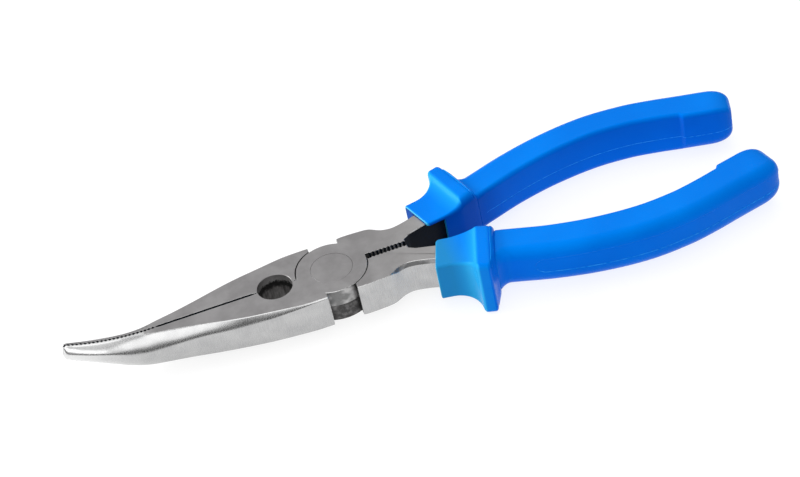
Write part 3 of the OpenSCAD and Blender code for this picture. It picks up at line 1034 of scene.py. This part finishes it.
# The surroundings' grey against height, from below to overhead
SKY = [(0.0, 0.07), (0.2, 0.1), (0.4, 0.43), (0.7, 0.56), (0.88, 0.9), (1.0, 1.0)]
# Name, place and target in metres, size in metres, watts
LIGHTS = [
    ("front", (-0.25, -0.68, 0.62), (0.02, 0.0, 0.0), (1.0, 0.5), 2.5),
    ("top", (0.1, 0.4, 0.9), (0.02, 0.0, 0.0), (1.1, 1.0), 3.0),
    ("left", (-0.85, 0.4, 0.42), (0.05, 0.0, 0.0), (0.5, 0.5), 8.0),
]
CAMERA_LENS, CAMERA_SENSOR = 97.623, 36.0
CAMERA_AT = (-0.047006, -0.446844, 0.400008)
CAMERA_RIGHT = (0.94213094, -0.28913413, -0.16967837)
CAMERA_DOWN = (-0.31557213, -0.59403332, -0.73995854)
CAMERA_AHEAD = (0.11315266, 0.7506836, -0.65089985)


def add_floor():
    low_z = cad_low.z / MM
    size = FLOOR_SIZE
    ring = [(-size, -size), (size, -size), (size, size), (-size, size)]
    obj = mesh_object("floor", [(x, y, low_z) for x, y in ring], [(0, 1, 2, 3)])
    obj.data.materials.append(floor_material())


def add_world():
    """Soft grey surroundings, dark below and bright overhead."""
    world = bpy.data.worlds.new("studio")
    world.use_nodes = True
    tree = world.node_tree
    tree.nodes.clear()
    out = tree.nodes.new("ShaderNodeOutputWorld")
    back = tree.nodes.new("ShaderNodeBackground")
    place = tree.nodes.new("ShaderNodeTexCoord")
    split = tree.nodes.new("ShaderNodeSeparateXYZ")
    ramp = tree.nodes.new("ShaderNodeValToRGB")
    tree.links.new(place.outputs["Generated"], split.inputs[0])
    tree.links.new(split.outputs[2], ramp.inputs[0])
    while len(ramp.color_ramp.elements) < len(SKY):
        ramp.color_ramp.elements.new(0.5)
    for element, (at, grey) in zip(ramp.color_ramp.elements, SKY):
        element.position = at
        element.color = (grey, grey, grey, 1)
    tree.links.new(ramp.outputs[0], back.inputs["Color"])
    back.inputs["Strength"].default_value = 1.0
    tree.links.new(back.outputs[0], out.inputs["Surface"])
    bpy.context.scene.world = world


def add_light(name, at, target, size, watts):
    data = bpy.data.lights.new(name, "AREA")
    data.shape, data.size, data.size_y, data.energy = "RECTANGLE", size[0], size[1], watts
    obj = bpy.data.objects.new(name, data)
    obj.location = at
    obj.rotation_mode = "QUATERNION"
    obj.rotation_quaternion = (Vector(target) - Vector(at)).to_track_quat("-Z", "Y")
    bpy.context.scene.collection.objects.link(obj)


def add_camera():
    """The photograph's viewing angle."""
    data = bpy.data.cameras.new("camera")
    data.sensor_width = CAMERA_SENSOR
    data.lens = CAMERA_LENS
    data.clip_start, data.clip_end = 0.01, 20.0
    obj = bpy.data.objects.new("camera", data)
    turn = Matrix((Vector(CAMERA_RIGHT), -Vector(CAMERA_DOWN), -Vector(CAMERA_AHEAD))).transposed().to_4x4()
    obj.matrix_world = Matrix.Translation(CAMERA_AT) @ turn
    bpy.context.scene.collection.objects.link(obj)
    bpy.context.scene.camera = obj


# ---------------------------------------------------------------- the object

def grip_materials(name, side, sleeve_grey):
    return [grip_plastic(name, side, sleeve_grey), grip_lip_painted_light("grip_lip_painted_light"), grip_mouth_painted_shade("grip_mouth_painted_shade"),
            grip_seam_and_highlight("grip_seam_and_highlight")]


def finish_piece(piece, materials):
    """Gives a piece its materials, and keeps which face has which."""
    kinds = [p.material_index for p in piece.data.polygons]
    piece.data.materials.clear()
    for m in materials:
        piece.data.materials.append(m)
    piece.data.polygons.foreach_set("material_index", kinds)


add_camera()
add_floor()
add_world()
for light in LIGHTS:
    add_light(*light)
bpy.context.scene.view_settings.view_transform = "Standard"

metals = [steel_ground(), steel_flank(), steel_worn(), steel_shade(), steel_black(), steel_notch(),
          steel_bore_painted_shade()]
left_plastics = grip_materials("grip_blue_left", FAR, 0.0)
right_plastics = grip_materials("grip_blue_right", NEAR, 0.75)

PIECES = [
    (half("half_upper", NEAR, 1), metals, "upper_half", "upper_side", "forged_steel"),
    (half("half_lower", FAR, -1), metals, "lower_half", "lower_side", "forged_steel"),
    (rivet(), metals, "pivot_rivet", "lower_side", "rivet_steel"),
    (grip("grip_left", FAR), left_plastics, "left_grip", "upper_side", "grip_plastic"),
    (grip("grip_right", NEAR), right_plastics, "right_grip", "lower_side", "grip_plastic"),
]
for piece, materials, node, body, slot in PIECES:
    finish_piece(piece, materials)
    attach(piece, body)
    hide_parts(node)
